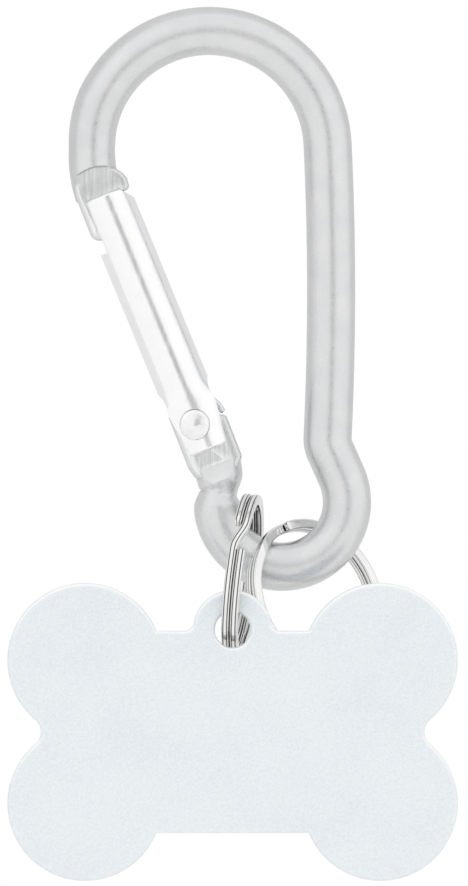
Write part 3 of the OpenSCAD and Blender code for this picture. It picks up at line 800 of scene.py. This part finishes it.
def studio_world():
    """White to the camera. Metal sees a light tent: bright in front and above, a little greyer below and
    behind, with one grey upright gap in front for the lens, a little right of the middle and low."""
    world = bpy.data.worlds.new("light_tent")
    world.use_nodes = True
    tree = world.node_tree
    tree.nodes.clear()
    direction = add(tree, "ShaderNodeTexCoord").outputs["Generated"]
    way = add(tree, "ShaderNodeSeparateXYZ", {0: direction}).outputs
    # Behind begins a little further forward at the left than at the right
    back = add(tree, "ShaderNodeVectorMath",
               {0: direction, 1: BEHIND_WAY}, operation="DOT_PRODUCT").outputs["Value"]
    back = add(tree, "ShaderNodeMapRange", {"Value": back, "From Min": -1.0, "From Max": 1.0}).outputs[0]
    behind = add(tree, "ShaderNodeValToRGB",
                 {"Fac": back}, [(0.46, grey(1.0)), (0.54, grey(BEHIND)), (1.0, grey(BEHIND))])
    height = add(tree, "ShaderNodeMapRange",
                 {"Value": way["Z"], "From Min": -1.0, "From Max": 1.0}).outputs[0]
    below = add(tree, "ShaderNodeValToRGB", {"Fac": height}, [(0.3, grey(BELOW)), (0.42, grey(1.0))])
    across = add(tree, "ShaderNodeMath",
                 {0: way["X"], 1: 1 / GAP_HALF_W, 2: -GAP_X / GAP_HALF_W}, operation="MULTIPLY_ADD")
    upright = add(tree, "ShaderNodeMath",
                  {0: way["Z"], 1: 1 / GAP_HALF_H, 2: -GAP_Z / GAP_HALF_H}, operation="MULTIPLY_ADD")
    beyond = add(tree, "ShaderNodeMath", {0: way["Y"], 1: 0.0}, operation="GREATER_THAN")
    apart = add(tree, "ShaderNodeCombineXYZ", {0: across.outputs[0], 1: upright.outputs[0]}).outputs[0]
    apart = add(tree, "ShaderNodeVectorMath", {0: apart}, operation="LENGTH").outputs["Value"]
    apart = add(tree, "ShaderNodeMath",
                {0: beyond.outputs[0], 1: FAR_SIDE, 2: apart}, operation="MULTIPLY_ADD").outputs[0]
    apart = add(tree, "ShaderNodeMath", {0: apart, 1: 0.5}, operation="MULTIPLY").outputs[0]
    gap = add(tree, "ShaderNodeValToRGB", {"Fac": apart}, [(0.42, grey(GAP)), (0.54, grey(1.0))])
    tent = behind.outputs[0]
    for part in (below, gap):
        tent = add(tree, "ShaderNodeMix", {0: 1.0, 6: tent, 7: part.outputs[0]}, data_type="RGBA",
                   blend_type="MULTIPLY").outputs[2]
    path = add(tree, "ShaderNodeLightPath")
    inside = add(tree, "ShaderNodeBackground", {"Color": tent, "Strength": 1.0}).outputs[0]
    white = add(tree, "ShaderNodeBackground", {"Color": grey(1.0), "Strength": 1.0}).outputs[0]
    seen = add(tree, "ShaderNodeMixShader",
               {0: path.outputs["Is Camera Ray"], 1: inside, 2: white}).outputs[0]
    add(tree, "ShaderNodeOutputWorld", {"Surface": seen})
    bpy.context.scene.world = world


def floor():
    """A white card. The camera, and metal that mirrors the card in front of the hook, see it a little lighter
    than it is."""
    n = 64
    edge = [(FLOOR_R * cosd(360 * i / n), FLOOR_R * sind(360 * i / n), FLOOR_Z) for i in range(n)]
    obj = new_object("floor", edge, [tuple(range(n))])
    mat, tree, shader = finish_material("matt_white_card")
    shader.inputs["Base Color"].default_value = linear("F4F4F3")
    shader.inputs["Roughness"].default_value = 0.9
    lift = add(tree, "ShaderNodeEmission", {"Color": grey(1.0)})
    path = add(tree, "ShaderNodeLightPath").outputs
    place = add(tree, "ShaderNodeTexCoord").outputs["Object"]
    place = add(tree, "ShaderNodeSeparateXYZ", {0: place}).outputs["Y"]
    ahead = add(tree, "ShaderNodeMath", {0: place, 1: 0.0}, operation="LESS_THAN").outputs[0]
    ahead = add(tree, "ShaderNodeMath", {0: path["Is Glossy Ray"], 1: ahead}, operation="MULTIPLY").outputs[0]
    seen = add(tree, "ShaderNodeMath", {0: path["Is Camera Ray"], 1: ahead}, operation="MAXIMUM").outputs[0]
    strength = add(tree, "ShaderNodeMath", {0: seen, 1: FLOOR_LIFT}, operation="MULTIPLY").outputs[0]
    tree.links.new(strength, lift.inputs["Strength"])
    both = add(tree, "ShaderNodeAddShader", {0: shader.outputs[0], 1: lift.outputs[0]})
    tree.links.new(both.outputs[0], tree.nodes["Material Output"].inputs["Surface"])
    obj.data.materials.append(mat)


LIT_SPOT = Vector((0.002, 0, -0.035))


def softbox(name, place, size, power):
    light = bpy.data.lights.new(name, "AREA")
    light.shape, light.size, light.energy = "SQUARE", size, power
    obj = bpy.data.objects.new(name, light)
    obj.location = place
    obj.rotation_mode = "QUATERNION"
    obj.rotation_quaternion = (LIT_SPOT - Vector(place)).to_track_quat("-Z", "Y")
    bpy.context.scene.collection.objects.link(obj)


studio_world()
floor()
softbox("key", (-0.4, -0.5, 0.4), size=0.5, power=0.06)
softbox("fill", (0.5, -0.4, 0.1), size=0.5, power=0.03)
softbox("top", (0.0, 0.1, 0.5), size=0.5, power=0.05)

# Camera: straight on, far off with a long lens, as the photograph's flat view asks
DISTANCE, SENSOR = 1.8, 36.0
PIXEL, PHOTO_H = 0.085 * MM, 886
# The photograph's middle and the place in it of the hook's own zero, in pixels
MIDDLE_X, MIDDLE_Y, ZERO_X, ZERO_Y = 234, 443, 208.9, 55.1
camera = bpy.data.cameras.new("camera")
camera.sensor_width = SENSOR
camera.lens = SENSOR * DISTANCE / (PHOTO_H * PIXEL)
camera.clip_start, camera.clip_end = 0.1, 20.0
camera_obj = bpy.data.objects.new("camera", camera)
camera_obj.location = (PIXEL * (MIDDLE_X - ZERO_X), -DISTANCE, PIXEL * (ZERO_Y - MIDDLE_Y))
camera_obj.rotation_euler = (math.pi / 2, 0, 0)
bpy.context.scene.collection.objects.link(camera_obj)
bpy.context.scene.camera = camera_obj
bpy.context.scene.view_settings.view_transform = "Standard"

bpy.context.view_layer.update()
